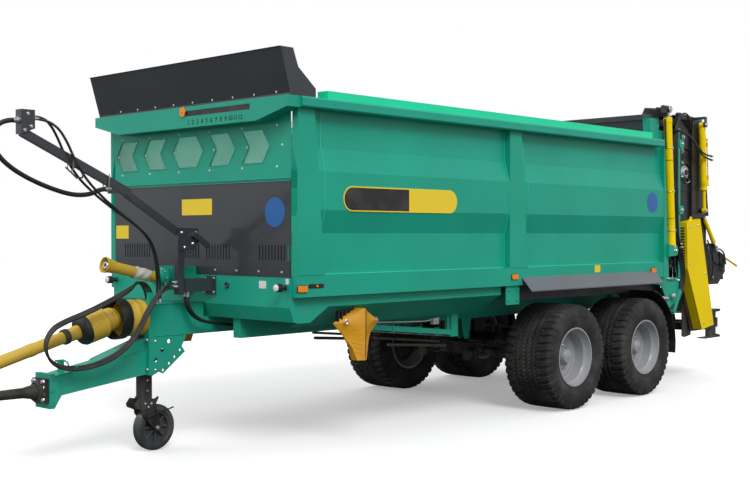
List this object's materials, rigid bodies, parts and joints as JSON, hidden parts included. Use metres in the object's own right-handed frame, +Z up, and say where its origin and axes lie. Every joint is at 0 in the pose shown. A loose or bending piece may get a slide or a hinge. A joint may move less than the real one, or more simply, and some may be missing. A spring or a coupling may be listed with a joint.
{
  "type": "tandem-axle muck spreader",
  "caption": "Towed muck spreader: folded-sheet body on a leaf-sprung tandem, with drawbar, jack, drive shaft, metering gate, beaters and spreading discs.",
  "frame": {"origin": "on the ground under the middle of the machine's overall box", "axes": "+X the machine's left, -Y its front, where it is towed, +Y its rear, +Z up"},
  "size_m": [2.785, 10.1402, 3.2423],
  "materials": {
    "anthracite_paint": "satin",
    "bare_steel": "satin",
    "black_paint": "satin",
    "black_plastic": "matte",
    "bright_green_paint": "gloss",
    "green_paint": "gloss",
    "hose_rubber": "satin",
    "silver_rim": "satin",
    "tyre": "matte",
    "window": "gloss",
    "yellow_paint": "gloss",
    "yellow_plastic": "satin"
  },
  "bodies": {
    "machine": {"axles": "black_paint", "chain_guards": "yellow_paint", "chassis_frame": "green_paint", "disc_carrier": "anthracite_paint", "drawbar": "green_paint", "drive_guards": "yellow_plastic", "drive_input": "bare_steel", "floor": "bare_steel", "floor_drive_gearbox": "green_paint", "front_beam": "green_paint", "front_glazing": "window", "front_lip": "green_paint", "front_slotted_sheet": "anthracite_paint", "front_window_sheet": "green_paint", "gate_barrels": "yellow_paint", "hose_leads": "hose_rubber", "hose_loops": "hose_rubber", "hose_mast": "anthracite_paint", "hose_sleeve": "hose_rubber", "hose_under": "hose_rubber", "jack_housing": "black_paint", "limiter": "anthracite_paint", "limiter_rods": "yellow_paint", "mudguards": "black_plastic", "raised_strips": "bright_green_paint", "rear_frame": "green_paint", "scraper_chain": "bare_steel", "side_posts": "green_paint", "side_wall_left": "green_paint", "side_wall_right": "green_paint", "sills": "green_paint", "skirts": "green_paint", "spray_shield": "anthracite_paint", "springs": "black_paint", "top_rails": "green_paint", "towing_eye": "black_paint", "unit_frame": "anthracite_paint", "wheel_chocks": "yellow_paint", "wings": "anthracite_paint"},
    "front_left_wheel": {"front_left_tyre": "tyre", "front_left_rim": "silver_rim"},
    "front_right_wheel": {"front_right_tyre": "tyre", "front_right_rim": "silver_rim"},
    "rear_left_wheel": {"rear_left_tyre": "tyre", "rear_left_rim": "silver_rim"},
    "rear_right_wheel": {"rear_right_tyre": "tyre", "rear_right_rim": "silver_rim"},
    "jack_leg": {"jack_leg": "black_paint"},
    "jack_wheel": {"jack_wheel": "black_plastic"},
    "drive_shaft": {"drive_shaft": "bare_steel"},
    "gate": {"gate": "anthracite_paint", "gate_rods": "bare_steel"},
    "hood": {"hood": "anthracite_paint"},
    "ram_barrels": {"ram_barrels": "yellow_paint"},
    "ram_rods": {"ram_rods": "bare_steel"},
    "beater_upper": {"beater_upper": "black_paint"},
    "beater_lower": {"beater_lower": "black_paint"},
    "disc_left": {"disc_left": "bare_steel"},
    "disc_right": {"disc_right": "bare_steel"}
  },
  "joints": [
    {"name": "front_left_spin", "type": "hinge", "parent": "machine", "child": "front_left_wheel", "pos_m": [1.1175, 1.0049, 0.535], "axis": [1, 0, 0], "continuous": true},
    {"name": "front_right_spin", "type": "hinge", "parent": "machine", "child": "front_right_wheel", "pos_m": [-1.1175, 1.0049, 0.535], "axis": [1, 0, 0], "continuous": true},
    {"name": "rear_left_spin", "type": "hinge", "parent": "machine", "child": "rear_left_wheel", "pos_m": [1.1175, 2.3849, 0.535], "axis": [1, 0, 0], "continuous": true},
    {"name": "rear_right_spin", "type": "hinge", "parent": "machine", "child": "rear_right_wheel", "pos_m": [-1.1175, 2.3849, 0.535], "axis": [1, 0, 0], "continuous": true},
    {"name": "jack_slide", "type": "slide", "parent": "machine", "child": "jack_leg", "axis": [0, 0, 1], "range_m": [-0.04, 0.16]},
    {"name": "jack_wheel_spin", "type": "hinge", "parent": "jack_leg", "child": "jack_wheel", "pos_m": [0, -3.1601, 0.19], "axis": [1, 0, 0], "continuous": true},
    {"name": "drive_shaft_spin", "type": "hinge", "parent": "machine", "child": "drive_shaft", "pos_m": [0, -3.5751, 1.1], "axis": [0, 0.9632, 0.2689], "continuous": true},
    {"name": "gate_slide", "type": "slide", "parent": "machine", "child": "gate", "axis": [0, -0.0698, 0.9976], "range_m": [0, 1.2]},
    {"name": "beater_lower_spin", "type": "hinge", "parent": "machine", "child": "beater_lower", "pos_m": [0, 3.7749, 1.7], "axis": [1, 0, 0], "continuous": true},
    {"name": "beater_upper_spin", "type": "hinge", "parent": "machine", "child": "beater_upper", "pos_m": [0, 3.6789, 2.51], "axis": [1, 0, 0], "continuous": true},
    {"name": "disc_left_spin", "type": "hinge", "parent": "machine", "child": "disc_left", "pos_m": [0.52, 4.3849, 0.8], "axis": [0, 0, 1], "continuous": true},
    {"name": "disc_right_spin", "type": "hinge", "parent": "machine", "child": "disc_right", "pos_m": [-0.52, 4.3849, 0.8], "axis": [0, 0, 1], "continuous": true},
    {"name": "hood_lift", "type": "hinge", "parent": "machine", "child": "hood", "pos_m": [0, 3.5949, 3.19], "axis": [1, 0, 0], "range_deg": [0, 42]},
    {"name": "ram_swing", "type": "hinge", "parent": "hood", "child": "ram_barrels", "pos_m": [0, 3.9899, 3.09], "axis": [1, 0, 0], "range_deg": [-41.86, 0.5]},
    {"name": "ram_stroke", "type": "slide", "parent": "ram_barrels", "child": "ram_rods", "axis": [0, 0.0678, -0.9977], "range_m": [-0.001, 0.29375]}
  ],
  "couplings": [
    {"joint": "ram_swing", "follows": "hood_lift", "ratio": -0.98475},
    {"joint": "ram_stroke", "follows": "hood_lift", "m_per_rad": 0.398},
    {"joint": "beater_upper_spin", "follows": "beater_lower_spin", "ratio": 1},
    {"joint": "disc_right_spin", "follows": "disc_left_spin", "ratio": -1}
  ]
}
